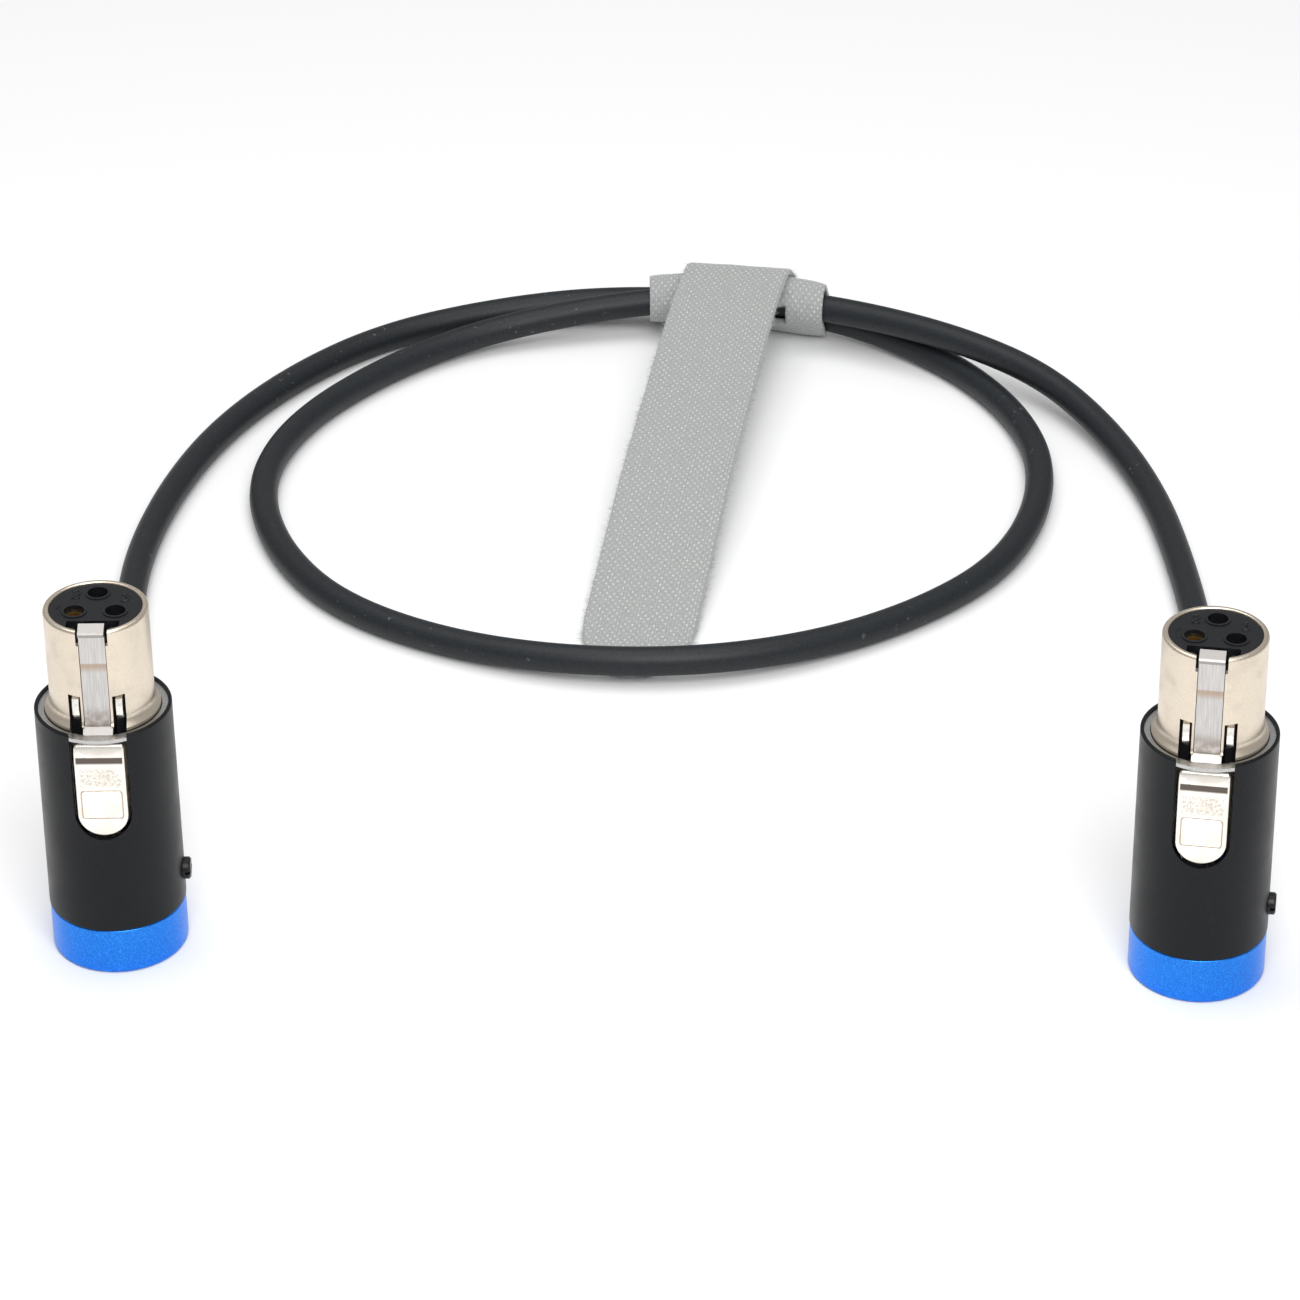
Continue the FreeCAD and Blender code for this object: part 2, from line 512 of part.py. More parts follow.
def connector_parts():
    parts = {
        "base_cap": base_cap(),
        "barrel": barrel(),
        "inner_sleeve": inner_sleeve(),
        "nose_shell": nose_shell(),
        "insert": insert(),
        "ground_spring": ground_spring(),
        "retaining_ring": retaining_ring(),
        "latch_tongue": latch_tongue(),
        "latch_button": latch_button(),
        "latch_pin": latch_pin(),
        "latch_spring": latch_spring(),
        "exit_grommet": exit_grommet(),
        "clamp_screw": clamp_screw(),
        "clamp_pad": clamp_pad(),
        "cable_end": cable_end(),
        "shrink_sleeve": shrink_sleeve(),
        "drain_wire": core("contact_1", -CORE_SIDE, EXIT_Z - CORE_DROP),
        "blue_core": core("contact_2", CORE_SIDE, EXIT_Z - CORE_DROP),
        "red_core": core("contact_3", 0.0, EXIT_Z + CORE_LIFT),
        "solder_joints": solder_joints(),
    }
    for name, (x, y) in CONTACTS.items():
        parts[name] = contact(x, y, contact_top(name))
    return parts


# ---- cable and tie -------------------------------------------------------------------------------
def cable():
    radii = fair_radii(ROUTE)
    path = arc_path(ROUTE, radii)
    tube = tube_along(path, CABLE_R)
    ideal = math.pi * CABLE_R ** 2 * path.Length
    print("cable: length %.1f mm, smallest bend %.1f mm" % (path.Length, min(radii)))
    print("cable: volume %.0f of %.0f mm3, valid %s" % (tube.Volume, ideal, tube.isValid()))
    return tube


def head_section(station, inset):
    """Rounded rectangle across the head at one of its stations, the given distance inside its skin."""
    middle, heading, rise = station
    heading, rise = math.radians(heading), math.radians(rise)
    front = Vector(math.sin(heading), -math.cos(heading), 0)
    along = front * math.cos(rise) + Z_AXIS * math.sin(rise)
    up = Z_AXIS * math.cos(rise) - front * math.sin(rise)
    a, b = [half - inset for half in HEAD_HALF]
    c = HEAD_CORNER - inset
    k = c * (1 - math.sqrt(0.5))
    points = [(c - a, -b), (a - c, -b), ((a - k, k - b), (a, c - b)), (a, b - c),
              ((a - k, b - k), (a - c, b)), (c - a, b), ((k - a, b - k), (-a, b - c)), (-a, c - b),
              ((k - a, k - b), (c - a, -b))]
    return outline(points, lambda u, v: Vector(*middle) + along * u + up * v)


def tie_head():
    """Band of the tie round both strands, with the slot in its front."""
    skins = [Part.makeLoft([head_section(station, inset) for station in HEAD_STATIONS], True)
             for inset in (0, HEAD_T)]
    middle_y = HEAD_STATIONS[1][0][1]
    slot = block(HEAD_SLOT, (middle_y - 2 * HEAD_HALF[0], middle_y - HEAD_HALF[0] / 2), HEAD_SLOT_Z)
    return skins[0].cut(skins[1]).cut(slot)


def tie_tail():
    """The strap's free length, over the head from behind and down to the table in front."""
    turn = math.radians(TAIL_TURN)
    ahead = Vector(-math.sin(turn), -math.cos(turn), 0)
    across = Vector(math.cos(turn), -math.sin(turn), 0)
    origin = Vector(TAIL_TOP[0], TAIL_TOP[1], 0)
    lower, upper = [offset_path(TAIL_LINE, TAIL_BENDS, side * STRAP_T / 2) for side in (-1, 1)]
    edges = lower.Edges + upper.Edges
    for end in (0, -1):
        ends = [wire.OrderedVertexes[end].Point for wire in (lower, upper)]
        edges.append(Part.LineSegment(*ends).toShape())
    section = Part.Face(Part.Wire(Part.__sortEdges__(edges)))
    strap = section.extrude(Vector(0, STRAP_W, 0)).translated(Vector(0, -STRAP_W / 2, 0))
    strap = strap.common(tail_outline(TAIL_LINE[-1][0]))
    # from its own (forward, left, up) axes to the model's
    strap.Placement = FreeCAD.Placement(FreeCAD.Matrix(
        ahead.x, across.x, 0, origin.x, ahead.y, across.y, 0, origin.y, 0, 0, 1, 0, 0, 0, 0, 1)
    ).multiply(strap.Placement)
    return strap


def tail_outline(end):
    """Everything that the strap's plan shape allows: straight sides and a tip that is half an ellipse."""
    start, low, high = end - TAIL_TIP, -1, 2 * TAIL_LINE[2][1]
    straight = block((TAIL_LINE[0][0] - STRAP_T, start), (-STRAP_W / 2, STRAP_W / 2), (low, high))
    tip = Part.Wire(Part.Ellipse(Vector(start, 0, low), TAIL_TIP, STRAP_W / 2).toShape())
    return straight.fuse(Part.Face(tip).extrude(Vector(0, 0, high - low)))


def offset_path(points, radii, offset):
    """The (forward, height) line moved sideways: corners are mitred and every arc stays concentric."""
    places = [Vector(s, 0, z) for s, z in points]
    runs = [(b - a).normalize() for a, b in zip(places, places[1:])]
    normals = [Vector(-run.z, 0, run.x) for run in runs]
    moved = [places[0] + normals[0] * offset]
    new_radii = []
    for place, first, second, radius in zip(places[1:], normals, normals[1:], radii):
        mitre = (first + second).normalize()
        moved.append(place + mitre * (offset / mitre.dot(first)))
        left_turn = first.cross(second).y < 0
        new_radii.append(radius - offset if left_turn else radius + offset)
    moved.append(places[-1] + normals[-1] * offset)
    return arc_path([tuple(p) for p in moved], new_radii)


# ---- the whole model -----------------------------------------------------------------------------
def main():
    os.makedirs("parts", exist_ok=True)
    middle_y = -GROMMET_PROUD / 2
    places = {
        "left": (Vector(-SPREAD / 2 - SCREW_PROUD / 2, middle_y + STAGGER / 2, 0), 0.0),
        "right": (Vector(SPREAD / 2 - SCREW_PROUD / 2, middle_y - STAGGER / 2, 0), RIGHT_TURN),
    }
    shapes = {"cable": cable(), "tie_head": tie_head(), "tie_tail": tie_tail()}
    parts = connector_parts()
    for side, (axis, turn) in places.items():
        for name, shape in parts.items():
            shapes[side + "_" + name] = shape.rotated(Vector(0, 0, 0), Z_AXIS, turn).translated(axis)
    for name, shape in shapes.items():
        shape.exportStep("parts/%s.step" % name)
    print("%d sub-parts, %d solids" % (len(shapes), sum(len(s.Solids) for s in shapes.values())))


main()
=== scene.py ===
import json
import math
import random

import bmesh
import bpy
from mathutils import Matrix, Vector, noise


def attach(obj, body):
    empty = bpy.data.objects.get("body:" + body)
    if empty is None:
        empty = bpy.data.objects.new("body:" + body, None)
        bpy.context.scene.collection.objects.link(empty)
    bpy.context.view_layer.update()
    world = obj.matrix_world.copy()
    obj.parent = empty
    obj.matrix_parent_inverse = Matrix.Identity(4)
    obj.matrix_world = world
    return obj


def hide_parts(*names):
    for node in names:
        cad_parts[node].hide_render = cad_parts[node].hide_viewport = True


# Looks of a short microphone cable with a female XLR connector on each end, laid in one loop that a
# hook-and-loop tie holds.  Metres, +Z up, in the CAD model's own frame.

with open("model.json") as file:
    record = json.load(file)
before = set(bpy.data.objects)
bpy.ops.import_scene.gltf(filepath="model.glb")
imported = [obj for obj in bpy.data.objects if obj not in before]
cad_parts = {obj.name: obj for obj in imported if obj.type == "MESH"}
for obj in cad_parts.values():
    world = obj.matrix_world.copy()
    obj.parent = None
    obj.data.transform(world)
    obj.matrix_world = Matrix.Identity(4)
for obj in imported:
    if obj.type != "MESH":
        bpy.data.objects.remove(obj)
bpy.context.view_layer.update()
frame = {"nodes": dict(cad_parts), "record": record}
scene = bpy.context.scene
ROOT = "shells_and_cable"
SIDES = ("left", "right")
random.seed(7)

# ---- camera --------------------------------------------------------------------------------------
CAMERA_PITCH = math.radians(31.595)     # below the horizon
CAMERA_ROLL = math.radians(-0.585)
CAMERA_TARGET = Vector((-0.000865, 0.08803, 0.0))
CAMERA_DISTANCE = 0.8343
CAMERA_LENS = 134.5                     # on a 36 mm wide sensor

# ---- the connectors: each one's axis, and its turn about it ------------------------------------------
AXES = {"left": (Vector((-0.08435, 0.00445, 0.0)), 0.0),
        "right": (Vector((0.08335, -0.00645, 0.0)), math.radians(-10.0))}
INSERT_TOP = 0.0600
BUTTON_HALF_W = 0.00385
BUTTON_MID_Z = 0.02905                  # centre of its half-round lower end
BUTTON_TOP = 0.0414
BUTTON_FACE = -0.01005
BUTTON_BACK = -0.0093
BUTTON_LEAN_Z = 0.0394                  # its face leans back from here up
BUTTON_LEAN = 0.28
BUTTON_EDGE = 0.00035                   # rounding of its front edge
BUTTON_CORNER = (0.0006, 0.00005)       # radius of its two top corners, and the least one inside them
BUTTON_EDGE_STEPS = 5
BUTTON_FACE_LOOPS = (0.0004, 0.0010, 0.0018, 0.0026, 0.0032)    # inside the rounded edge
BADGE = (0.0031, 0.02845, 0.0334)       # half width, foot and top of the frame on the button
BADGE_CORNER = 0.0005
BADGE_LINE = (0.00005, 0.00013)         # distance from its middle where the line is full and gone
SHADE_BAND = (0.0035, 0.0381, 0.03935)        # as BADGE, of the band of painted shade above it, below where the face leans back
SHADE_BAND_FADES = (0.0001, 0.0004)           # outside its sides and top, and inside its foot
PATCH = (0.0345, 0.0370)                # foot and top of the speckled patch between them
PATCH_FADES = (0.0006, 0.0007)          # inside its sides, and outside its foot and top
# marks across the latch tongue: the heights where each starts, is full, starts to fade and is gone
# a brown band across the tongue where it bends
BEND_BAND = (0.0528, 0.0543, 0.0545, 0.0548)
FOOT_STAIN = (0.0432, 0.0436, 0.0448, 0.0478)
# painted shade across the tongue's foot
FOOT_EDGE_SHADE = (0.0422, 0.0423, 0.0435, 0.0436)
HOOK_EDGE_SHADE = (0.0593, 0.0595)            # painted shade: its hook darkens from the first height to the second

# ---- the cable: the route's points, from the left grommet to the right one -------------------------
CABLE_D = 0.0051
CABLE_STEPS = (12, 8)                   # the curve's resolution along it, and round it
ROUTE = [
    (-0.08435, 0.0171, 0.0125), (-0.08435, 0.0284, 0.0125), (-0.0855, 0.0445, 0.009),
    (-0.088, 0.065, 0.00255), (-0.0905, 0.089, 0.00255), (-0.0915, 0.114, 0.00255),
    (-0.0875, 0.1395, 0.00255), (-0.0795, 0.1635, 0.00255), (-0.067, 0.1835, 0.00255),
    (-0.0515, 0.199, 0.00255), (-0.032, 0.207, 0.0033), (-0.01, 0.21, 0.0045),
    (0.0135, 0.2085, 0.0044), (0.036, 0.202, 0.0042), (0.0545, 0.1885, 0.00255),
    (0.066, 0.17, 0.00255), (0.071, 0.149, 0.00255), (0.068, 0.1265, 0.00255), (0.058, 0.106, 0.00255),
    (0.0375, 0.089, 0.00255), (0.0135, 0.078, 0.0041), (-0.012, 0.0775, 0.0041),
    (-0.036, 0.0865, 0.00255), (-0.056, 0.1005, 0.00255), (-0.0675, 0.121, 0.00255),
    (-0.0715, 0.1435, 0.00255), (-0.066, 0.1645, 0.00255), (-0.053, 0.183, 0.00255),
    (-0.036, 0.197, 0.0032), (-0.0155, 0.2025, 0.0056), (0.006, 0.205, 0.0072),
    (0.0255, 0.201, 0.0082), (0.043, 0.1935, 0.0085), (0.0595, 0.1835, 0.0083),
    (0.0735, 0.173, 0.0064), (0.0835, 0.1565, 0.0041), (0.09, 0.136, 0.00255),
    (0.0925, 0.1115, 0.00255), (0.0935, 0.0855, 0.00255), (0.0925, 0.059, 0.00255),
    (0.09, 0.0355, 0.0085), (0.08753, 0.01723, 0.0125), (0.085547, 0.006008, 0.0125)]

# ---- the tie ---------------------------------------------------------------------------------------
STRAP_W = 0.0198
STRAP_T = 0.0012
TAIL_TOP = Vector((0.0162, 0.2055, 0.0))
TAIL_TURN = math.radians(9.5)           # from -Y towards -X
# middle of the strap's thickness: distance forward of TAIL_TOP, and height
TAIL_LINE = [(-0.0077, 0.0032), (-0.0077, 0.0072), (0.00135, 0.0141), (0.072, 0.0088),
             (0.1185, 0.00065), (0.1285, 0.00065)]
TAIL_BENDS = [0.005, 0.0048, 0.150, 0.040]
TAIL_TIP = 0.0165
TAIL_SWAY = (0.0010, 0.020)             # its top leans this far to the right, over this length
TAIL_SPACING = 0.0004                   # from one cross-section to the next
TAIL_COLUMNS = 40                       # faces across it
TAIL_EDGE_STEPS = 4                     # round each of its long edges
TAPE_WAVE = (260.0, 0.00016)            # unevenness of its faces: pitch per metre, and height
TAPE_WAVE_START = 0.02                  # the waves grow over this length
TAPE_FLAT = (0.001, 0.3)                # below this height its waves are this share as high
TAPE_RAGGED = (1400.0, 0.00013)         # unevenness of its edges: pitch per metre, and depth
EDGE_SEED = 7.0                         # keeps the noise of one edge apart from the other's
TABLE_GAP = 0.00005
# the head's section at three places: middle, heading, and rise of its long side towards the front
HEAD_STATIONS = [((-0.0002, 0.2071, 0.0060), 0.0, 24.0), ((0.0165, 0.2054, 0.0064), -6.0, 37.0),
                 ((0.0333, 0.2003, 0.00665), -10.0, 44.0)]
HEAD_HALF = (0.00705, 0.0046)
HEAD_CORNER = 0.0041
HEAD_T = 0.00125
HEAD_SLOT = ((0.007, 0.0254), (0.0054, 0.0098))     # its span along X and along Z
HEAD_FLAT = (0.0345, 0.0396)
HEAD_STEPS = (64, 104)                  # along the strands, and round them
HEAD_WAVE = ((0.09, 0.11), 0.00018)     # unevenness of its skins: pitch for each step, and height
HEAD_PINCH = (0.0006, 8)                # how far its ends draw in, and how sharply

# ---- loose fibres on the strap's edges ----------------------------------------------------------------
FIBRES = 2600
FIBRE_THICK = 0.00003
FIBRE_STEPS = 4
FIBRE_SIDES = 3
FIBRE_CURL = 0.9
FIBRE_CURL_UP = (-0.6, 0.9)             # least and most of its curl upwards, as shares of that
FIBRE_TAPER = 0.6                       # how much thinner its end is
FIBRE_FIRST = 8                         # cross-sections of the strap left bare behind its head
FIBRE_RISE = 0.35                       # share of the tape's thickness, above and below its middle
FIBRE_ROOT = (0.00012, 0.0001)          # inside the edge, and the least height
FIBRE_TIP = (0.0006, 0.0002)            # outside the edge, and the least height
FIBRE_LEAN = 0.0004                     # along the strap, either way
FIBRE_LENGTHS = (0.0002, 0.0007)
TIP_FIBRE_LENGTHS = (0.0004, 0.0016)
TIP_SHARE = 0.75                        # of the rounded tip, where the longer fibres are

# ---- numerals on the inserts' faces -------------------------------------------------------------------
NUMERAL_H = 0.0022
NUMERAL_WIDTH = 0.00034
NUMERAL_RISE = 0.00014
STROKE_FOOT = -0.00002                  # its sides start this far below the face
STROKE_TOP_SHARE = 0.7                  # of its width

# ---- floor and light: name, place, size and power of each lamp ----------------------------------------
FLOOR_HALF = 3.0
FLOOR_Z = -0.00005
SKY_STRENGTH = 0.42
LAMPS = [("key", (0.10, -0.60, 0.75), 0.6, 7.2), ("top", (-0.1, 0.15, 1.0), 0.9, 5.6)]
LAMP_AIM = Vector((0.0, 0.1, 0.0))


# ---- nodes -----------------------------------------------------------------------------------------
class Shader:
    """A material's node tree, built by short calls.  A value may be a number, a colour or a socket."""

    def __init__(self, name):
        self.material = bpy.data.materials.new(name)
        self.material.use_nodes = True
        self.tree = self.material.node_tree
        self.principled = self.tree.nodes["Principled BSDF"]
        self.place = self.node("ShaderNodeTexCoord").outputs["Object"]

    def node(self, kind, **settings):
        made = self.tree.nodes.new(kind)
        for key, value in settings.items():
            setattr(made, key, value)
        return made

    def feed(self, socket, value):
        if isinstance(value, bpy.types.NodeSocket):
            self.tree.links.new(value, socket)
        else:
            socket.default_value = value

    def surface(self, **inputs):
        for key, value in inputs.items():
            self.feed(self.principled.inputs[key.replace("_", " ")], value)

    def scaled(self, x, y, z, place=None):
        made = self.node("ShaderNodeMapping")
        self.feed(made.inputs["Vector"], place or self.place)
        made.inputs["Scale"].default_value = (x, y, z)
        return made.outputs["Vector"]

    def noise(self, size, detail=2.0, place=None):
        """Noise whose grains are about that size, in metres."""
        made = self.node("ShaderNodeTexNoise")
        self.feed(made.inputs["Vector"], place or self.place)
        made.inputs["Scale"].default_value = 1.0 / size
        made.inputs["Detail"].default_value = detail
        return made.outputs["Fac"]

    def math(self, operation, a, b=0.0, c=0.0):
        made = self.node("ShaderNodeMath", operation=operation)
        for socket, value in zip(made.inputs, (a, b, c)):
            self.feed(socket, value)
        return made.outputs["Value"]

    def ramp(self, value, low, high, to_low=0.0, to_high=1.0):
        """Smooth step from to_low to to_high as the value goes from low to high."""
        made = self.node("ShaderNodeMapRange", interpolation_type="SMOOTHSTEP")
        for socket, item in zip(made.inputs, (value, low, high, to_low, to_high)):
            self.feed(socket, item)
        return made.outputs["Result"]

    def mix(self, factor, a, b):
        made = self.node("ShaderNodeMix", data_type="RGBA")
        self.feed(made.inputs["Factor"], factor)
        self.feed(made.inputs["A"], a)
        self.feed(made.inputs["B"], b)
        return made.outputs["Result"]

    def split(self, vector):
        made = self.node("ShaderNodeSeparateXYZ")
        self.feed(made.inputs["Vector"], vector)
        return made.outputs["X"], made.outputs["Y"], made.outputs["Z"]

    def span(self, value, start, full, fading, gone):
        """0 up to start, 1 from full to fading, and 0 again from gone on."""
        return self.math("MULTIPLY", self.ramp(value, start, full), self.ramp(value, gone, fading))

    def bump(self, height, distance, strength=1.0, normal=None):
        made = self.node("ShaderNodeBump")
        made.inputs["Distance"].default_value = distance
        made.inputs["Strength"].default_value = strength
        self.feed(made.inputs["Height"], height)
        if normal is not None:
            self.feed(made.inputs["Normal"], normal)
        return made.outputs["Normal"]


def colour(r, g, b):
    return (r, g, b, 1.0)


def anodised(name, base, bright, roughness, metallic):
    """Anodised aluminium: a fine grain in the colour, and a satin surface."""
    s = Shader(name)
    grain = s.noise(0.00022, 2.0)
    cloud = s.noise(0.006, 3.0)
    tone = s.mix(s.ramp(grain, 0.42, 0.72), colour(*base), colour(*bright))
    worn = s.ramp(cloud, 0.35, 0.7, roughness - 0.03, roughness + 0.05)
    s.surface(Base_Color=tone, Metallic=metallic, Roughness=worn, Specular_IOR_Level=0.22,
              Normal=s.bump(grain, 0.00002, 0.5))
    return s.material


def nickel(name, base, roughness, grain_size, grain_depth):
    """Nickel plate on a lightly grained casting."""
    s = Shader(name)
    grain = s.noise(grain_size, 3.0)
    stain = s.noise(0.0035, 4.0)
    darker = tuple(0.9 * c for c in base)
    speckle = s.ramp(s.noise(0.00018, 1.0), 0.35, 0.7, 0.92, 1.06)
    tone = s.mix(s.ramp(stain, 0.45, 0.75), colour(*base), colour(*darker))
    tone = s.mix(speckle, colour(0.0, 0.0, 0.0), tone)
    s.surface(Base_Color=tone, Metallic=1.0, Roughness=s.ramp(stain, 0.3, 0.7, roughness, roughness + 0.08),
              Normal=s.bump(grain, grain_depth, 0.7))
    return s.material


def button_plate(name):
    """Bright plate with a band of painted shade near the button's top, below where its face leans back, and a
    thin frame below it.
    """
    s = Shader(name)
    grain = s.noise(0.0004, 3.0)
    stain = s.noise(0.003, 3.0)
    x, _, z = s.split(s.place)
    side = s.math("ABSOLUTE", x)
    half_w, low, top = SHADE_BAND
    outside, inside = SHADE_BAND_FADES
    # painted shade: the dark band near the button's top, below where its face leans back
    band = s.math("MULTIPLY", s.ramp(side, half_w + outside, half_w),
                  s.span(z, low, low + inside, top, top + outside))
    patch_low, patch_top = PATCH
    patch_side, patch_end = PATCH_FADES
    patch = s.math("MULTIPLY", s.ramp(side, half_w, half_w - patch_side),
                   s.span(z, patch_low - patch_end, patch_low, patch_top, patch_top + patch_end))
    speck = s.math("MULTIPLY", patch, s.ramp(s.noise(0.0003, 2.0), 0.45, 0.70))
    half_w, low, top = BADGE
    out_x = s.math("MAXIMUM", s.math("SUBTRACT", side, half_w - BADGE_CORNER), 0.0)
    rise = s.math("ABSOLUTE", s.math("SUBTRACT", z, (low + top) / 2))
    out_z = s.math("MAXIMUM", s.math("SUBTRACT", rise, (top - low) / 2 - BADGE_CORNER), 0.0)
    squares = s.math("ADD", s.math("MULTIPLY", out_x, out_x), s.math("MULTIPLY", out_z, out_z))
    off_line = s.math("ABSOLUTE", s.math("SUBTRACT", s.math("SQRT", squares), BADGE_CORNER))
    line = s.ramp(off_line, BADGE_LINE[1], BADGE_LINE[0])
    plate = s.mix(s.ramp(stain, 0.4, 0.75), colour(0.96, 0.92, 0.85), colour(0.88, 0.82, 0.73))
    tone = s.mix(s.math("MULTIPLY", line, 0.75), plate, colour(0.42, 0.26, 0.15))
    tone = s.mix(s.math("MULTIPLY", speck, 0.35), tone, colour(0.50, 0.36, 0.25))
    # paints that band of shade nearly black
    tone = s.mix(s.math("MULTIPLY", band, 0.93), tone, colour(0.07, 0.05, 0.04))
    dip = s.math("MULTIPLY", s.math("MAXIMUM", line, speck), -1.0)
    s.surface(Base_Color=tone, Metallic=1.0, Roughness=s.ramp(stain, 0.3, 0.7, 0.26, 0.33),
              Normal=s.bump(dip, 0.00008, 0.8, s.bump(grain, 0.00001, 0.5)))
    return s.material


def spring_steel(name):
    """Steel strip brushed along its length, with a brown band where it bends, a stained foot, and painted
    shade across its foot and on its hook.
    """
    s = Shader(name)
    lines = s.noise(0.00012, 2.0, s.scaled(1.0, 1.0, 0.03))
    z = s.split(s.place)[2]
    steel = s.mix(s.ramp(lines, 0.3, 0.7), colour(0.50, 0.485, 0.47), colour(0.64, 0.62, 0.60))
    # brown band across the tongue where it bends
    tone = s.mix(s.math("MULTIPLY", s.span(z, *BEND_BAND), 0.7), steel, colour(0.40, 0.27, 0.17))
    stain = s.math("MULTIPLY", s.span(z, *FOOT_STAIN), s.ramp(s.noise(0.0011), 0.3, 0.6, 0.25, 0.7))
    tone = s.mix(stain, tone, colour(0.27, 0.21, 0.18))
    # painted shade across the tongue's foot and on its hook
    end_shade = s.math("MAXIMUM", s.ramp(z, *HOOK_EDGE_SHADE), s.span(z, *FOOT_EDGE_SHADE))
    tone = s.mix(s.math("MULTIPLY", end_shade, 0.75), tone, colour(0.27, 0.255, 0.24))
    s.surface(Base_Color=tone, Metallic=1.0, Roughness=s.ramp(lines, 0.3, 0.7, 0.30, 0.40),
              Normal=s.bump(lines, 0.00001, 0.6))
    return s.material


def plastic(name, base, roughness):
    """Moulded plastic with a fine, slightly paler grain."""
    s = Shader(name)
    grain = s.noise(0.0003, 2.0)
    lighter = tuple(1.5 * c + 0.004 for c in base)
    tone = s.mix(s.ramp(grain, 0.45, 0.75), colour(*base), colour(*lighter))
    s.surface(Base_Color=tone, Roughness=roughness, Specular_IOR_Level=0.28,
              Normal=s.bump(grain, 0.00002, 0.5))
    return s.material


def jacket(name):
    """Matt PVC with fine dust and a few pale scuffs."""
    s = Shader(name)
    grain = s.noise(0.0004, 3.0)
    dust = s.noise(0.0011, 4.0)
    scuff = s.math("MULTIPLY", s.ramp(dust, 0.66, 0.74), s.ramp(s.noise(0.03, 1.0), 0.5, 0.62))
    base = s.mix(s.ramp(grain, 0.3, 0.8), colour(0.008, 0.010, 0.012), colour(0.016, 0.0195, 0.023))
    tone = s.mix(s.math("MULTIPLY", scuff, 0.5), base, colour(0.16, 0.17, 0.18))
    s.surface(Base_Color=tone, Roughness=0.48, Specular_IOR_Level=0.32, Normal=s.bump(grain, 0.00003, 0.5))
    return s.material


def plain_metal(name, base, roughness):
    """Metal with a slightly darker grain."""
    s = Shader(name)
    grain = s.noise(0.0003, 3.0)
    tone = s.mix(s.ramp(grain, 0.35, 0.75), colour(*base), colour(*(0.8 * c for c in base)))
    s.surface(Base_Color=tone, Metallic=1.0, Roughness=roughness, Normal=s.bump(grain, 0.00001, 0.5))
    return s.material


def webbing(name):
    """Grey woven tape.  Its UV map is in metres: u across the tape, v along it."""
    s = Shader(name)
    u, v, _ = s.split(s.node("ShaderNodeUVMap", uv_map="tape").outputs["UV"])
    across, along, rib = 0.00125, 0.0017, 0.00052

    def diagonal(way):
        rise = s.math("MULTIPLY", v, way * math.pi / along)
        return s.math("SINE", s.math("MULTIPLY_ADD", u, math.pi / across, rise))

    lattice = s.math("ABSOLUTE", s.math("MULTIPLY", diagonal(1), diagonal(-1)))
    patchy = s.ramp(s.noise(0.0009, 2.0), 0.35, 0.65, 0.15, 1.2)
    knots = s.math("MULTIPLY", s.ramp(lattice, 0.60, 0.95), patchy)
    ribs = s.math("SINE", s.math("MULTIPLY", u, 2 * math.pi / rib))
    threads = s.noise(0.00016, 2.0)
    ground = s.mix(s.ramp(threads, 0.3, 0.7), colour(0.25, 0.262, 0.255), colour(0.41, 0.422, 0.412))
    ground = s.mix(s.ramp(ribs, -1.0, 1.0, 0.0, 0.22), ground, colour(0.20, 0.205, 0.205))
    tone = s.mix(s.math("MULTIPLY", knots, 0.62), ground, colour(0.72, 0.73, 0.72))
    height = s.math("ADD", knots, s.math("MULTIPLY_ADD", ribs, 0.12, s.math("MULTIPLY", threads, 0.5)))
    s.surface(Base_Color=tone, Roughness=0.9, Sheen_Weight=0.35, Sheen_Roughness=0.5,
              Normal=s.bump(height, 0.00012, 0.9))
    return s.material


def fibre(name):
    """Loose threads of the tape, from grey to pale."""
    s = Shader(name)
    tone = s.mix(s.ramp(s.noise(0.002), 0.35, 0.65), colour(0.30, 0.31, 0.305), colour(0.58, 0.59, 0.58))
    s.surface(Base_Color=tone, Roughness=0.85, Sheen_Weight=0.3)
    return s.material


MATERIALS = {
    "blue_anodised": anodised("blue_anodised", (0.024, 0.19, 0.72), (0.040, 0.31, 0.97), 0.34, 1.0),
    "black_anodised": anodised("black_anodised", (0.0030, 0.0036, 0.0046), (0.0065, 0.0075, 0.0095),
                               0.36, 0.0),
    "grey_sleeve": plain_metal("grey_sleeve", (0.55, 0.55, 0.54), 0.35),
    "satin_nickel": nickel("satin_nickel", (0.765, 0.675, 0.555), 0.30, 0.0003, 0.00003),
    "nickel_button": button_plate("nickel_button"),
    "spring_steel": spring_steel("spring_steel"),
    "bright_spring": nickel("bright_spring", (0.86, 0.83, 0.77), 0.24, 0.0006, 0.00006),
    "black_insert": plastic("black_insert", (0.006, 0.0065, 0.008), 0.40),
    "gold_contact": plain_metal("gold_contact", (1.0, 0.72, 0.30), 0.30),
    "black_rubber": plastic("black_rubber", (0.008, 0.008, 0.009), 0.6),
    "black_screw": plastic("black_screw", (0.006, 0.006, 0.007), 0.32),
    "black_jacket": jacket("black_jacket"),
    "tinned_copper": plain_metal("tinned_copper", (0.72, 0.70, 0.66), 0.35),
    "blue_insulation": plastic("blue_insulation", (0.03, 0.10, 0.45), 0.3),
    "red_insulation": plastic("red_insulation", (0.45, 0.02, 0.02), 0.3),
    "solder": plain_metal("solder", (0.70, 0.70, 0.69), 0.2),
    "grey_strap": webbing("grey_strap"),
    "fibre": fibre("fibre"),
}


